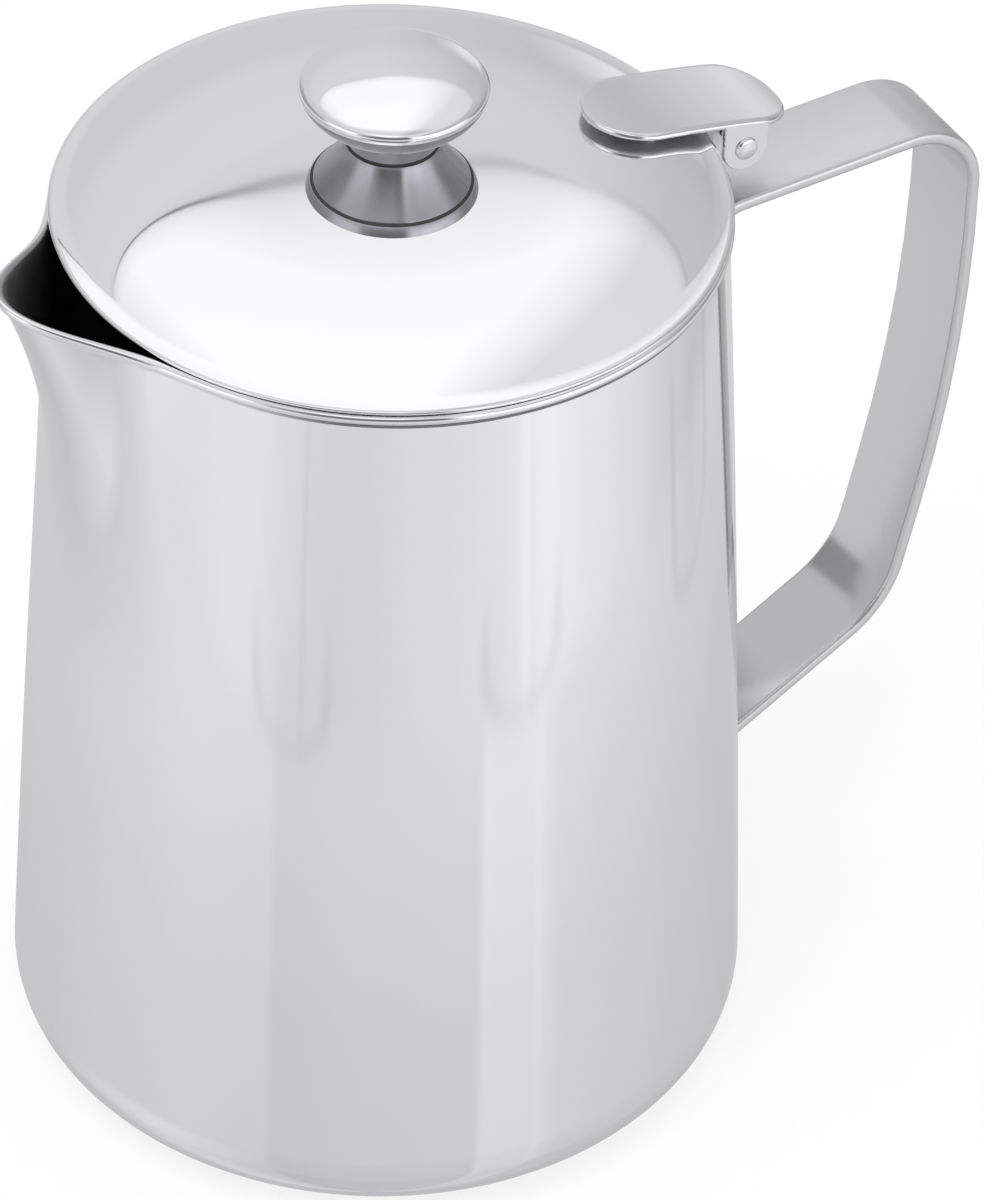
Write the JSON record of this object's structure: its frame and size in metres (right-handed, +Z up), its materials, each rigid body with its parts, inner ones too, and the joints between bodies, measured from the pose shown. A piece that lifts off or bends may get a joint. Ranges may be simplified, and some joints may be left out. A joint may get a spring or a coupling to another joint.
{
  "type": "milk jug",
  "caption": "Polished steel milk jug with a pouring spout, flat strap handle and hinged domed lid with a turned knob.",
  "frame": {"origin": "middle of the foot, on the plane of the table that the jug stands on", "axes": "+Z up along the jug's axis, +X towards the handle, -X towards the spout"},
  "size_m": [0.1814, 0.1296, 0.1956],
  "materials": {
    "polished_steel": "mirror polished stainless steel",
    "strap_steel": "satin stainless steel",
    "turned_steel": "turned and brushed stainless steel",
    "washer_black": "black fibre washer",
    "fastener_steel": "plain stainless steel"
  },
  "bodies": {
    "jug": {"jug_body": "polished_steel", "base_plate": "polished_steel", "handle_strap": "strap_steel", "hinge_knuckle": "strap_steel"},
    "lid": {"hinge_leaf": "polished_steel", "hinge_pin": "fastener_steel", "lid_shell": "polished_steel", "lid_ring": "polished_steel", "knob_base_ring": "turned_steel", "knob_cone": "turned_steel", "knob_spacer": "washer_black", "knob_collar": "turned_steel", "knob_cap": "polished_steel", "knob_stud": "fastener_steel", "lid_washer": "fastener_steel", "lid_nut": "fastener_steel"}
  },
  "joints": [
    {"name": "lid_hinge", "type": "hinge", "parent": "jug", "child": "lid", "pos_m": [0.062, 0, 0.1664], "axis": [0, 1, 0], "range_deg": [0, 88]}
  ]
}
